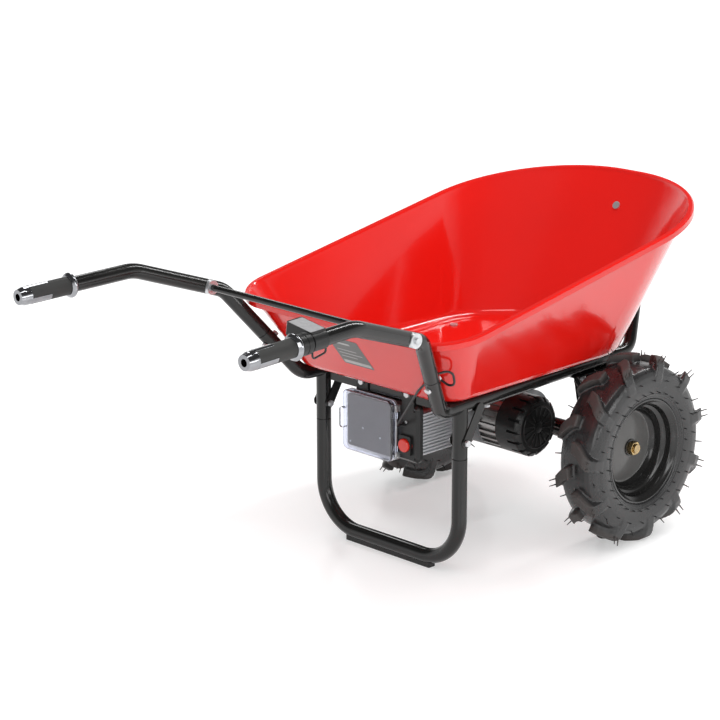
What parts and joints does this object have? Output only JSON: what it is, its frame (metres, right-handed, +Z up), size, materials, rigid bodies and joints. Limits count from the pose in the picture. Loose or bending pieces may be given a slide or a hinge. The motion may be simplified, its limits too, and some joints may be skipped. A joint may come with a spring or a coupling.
{
  "type": "electric wheelbarrow",
  "caption": "Two-wheel electric wheelbarrow: red pressed tub on a bent-tube frame with U-shaped leg, twist throttle, battery box, motor, gearbox and lugged tyres.",
  "frame": {"origin": "on the floor, at the middle of the length and of the track", "axes": "+X forward, away from the handles; +Y to the operator's left; +Z up"},
  "size_m": [1.4925, 0.696, 0.7088],
  "materials": {
    "tub_paint": "gloss red enamel",
    "frame_paint": "gloss black powder coat",
    "wheel_paint": "semi-gloss black paint",
    "tyre_rubber": "moulded rubber",
    "grip_rubber": "fine matt rubber",
    "lead_rubber": "smooth cable sheath",
    "plating": "bright plating",
    "zinc": "bright zinc",
    "yellow_zinc": "yellow zinc",
    "plain_steel": "turned",
    "bare_aluminium": "extruded, satin",
    "cast_metal": "cast",
    "black_plastic": "fine texture",
    "panel_plastic": "matt grey",
    "switch_plastic": "gloss red",
    "clear_plastic": "clear moulded plastic",
    "frosted_plastic": "translucent grey",
    "pack_wrap": "shrink wrap"
  },
  "bodies": {
    "frame": {"axle_hanger_left": "frame_paint", "axle_hanger_right": "frame_paint", "axle_tube_left": "frame_paint", "axle_tube_right": "frame_paint", "battery_pack": "pack_wrap", "box_bolts": "zinc", "box_front_plate": "black_plastic", "box_rear_plate": "black_plastic", "box_shell": "bare_aluminium", "cable_gland": "black_plastic", "control_box": "black_plastic", "control_lead": "lead_rubber", "cover_frame": "frosted_plastic", "cover_pin": "plain_steel", "cross_channels": "frame_paint", "crossbar": "frame_paint", "crossbar_saddles": "zinc", "foot_skid": "frame_paint", "front_hoop": "frame_paint", "gearbox_case": "bare_aluminium", "gearbox_cover": "bare_aluminium", "handle_bolts": "zinc", "handle_tube_left": "frame_paint", "handle_tube_right": "frame_paint", "hanger_bolts": "zinc", "inner_panel": "panel_plastic", "left_grip": "grip_rubber", "left_grip_trim": "plating", "leg_bolts": "zinc", "leg_braces": "frame_paint", "leg_socket_left": "frame_paint", "leg_socket_right": "frame_paint", "motor_body": "bare_aluminium", "motor_cap": "black_plastic", "motor_controller": "cast_metal", "motor_stator": "cast_metal", "rail_left": "frame_paint", "rail_right": "frame_paint", "shaft_bearings": "plain_steel", "switch_bezel": "black_plastic", "throttle_housing": "black_plastic", "tub": "tub_paint", "tub_bolts": "zinc", "tub_washers": "grip_rubber", "u_leg": "frame_paint"},
    "wheel_left": {"tyre_left": "tyre_rubber", "rim_left": "wheel_paint", "hub_nut_left": "yellow_zinc", "half_shaft_left": "plain_steel"},
    "wheel_right": {"tyre_right": "tyre_rubber", "rim_right": "wheel_paint", "hub_nut_right": "yellow_zinc", "half_shaft_right": "plain_steel"},
    "rotor": {"motor_rotor": "plain_steel"},
    "counter_shaft": {"counter_gear": "plain_steel"},
    "final_drive": {"final_gear": "plain_steel"},
    "throttle": {"throttle_grip": "grip_rubber", "throttle_grip_trim": "plating"},
    "battery_cover": {"cover": "clear_plastic"},
    "power_switch": {"switch_button": "switch_plastic"}
  },
  "joints": [
    {"name": "wheel_left_spin", "type": "hinge", "parent": "frame", "child": "wheel_left", "pos_m": [0.38503, 0.297, 0.203], "axis": [0, 1, 0], "continuous": true},
    {"name": "wheel_right_spin", "type": "hinge", "parent": "frame", "child": "wheel_right", "pos_m": [0.38503, -0.297, 0.203], "axis": [0, 1, 0], "continuous": true},
    {"name": "rotor_spin", "type": "hinge", "parent": "frame", "child": "rotor", "pos_m": [0.28102, 0, 0.23302], "axis": [0, 1, 0], "continuous": true},
    {"name": "counter_spin", "type": "hinge", "parent": "frame", "child": "counter_shaft", "pos_m": [0.31935, 0, 0.20944], "axis": [0, 1, 0], "continuous": true},
    {"name": "final_spin", "type": "hinge", "parent": "frame", "child": "final_drive", "pos_m": [0.38503, 0, 0.203], "axis": [0, 1, 0], "continuous": true},
    {"name": "throttle_twist", "type": "hinge", "parent": "frame", "child": "throttle", "pos_m": [-0.74597, -0.325, 0.63], "axis": [-0.9993, -0.0318, -0.0212], "range_deg": [0, 70], "stiffness_Nm_per_rad": 0.5},
    {"name": "cover_hinge", "type": "hinge", "parent": "frame", "child": "battery_cover", "pos_m": [-0.05587, -0.03, 0.275], "axis": [0, 0, 1], "range_deg": [0, 95]},
    {"name": "switch_press", "type": "slide", "parent": "frame", "child": "power_switch", "axis": [1, 0, 0], "range_m": [0, 0.004], "stiffness_N_per_m": 400}
  ],
  "couplings": [
    {"joint": "counter_spin", "follows": "rotor_spin", "ratio": -0.28571},
    {"joint": "final_spin", "follows": "rotor_spin", "ratio": 0.084034}
  ]
}
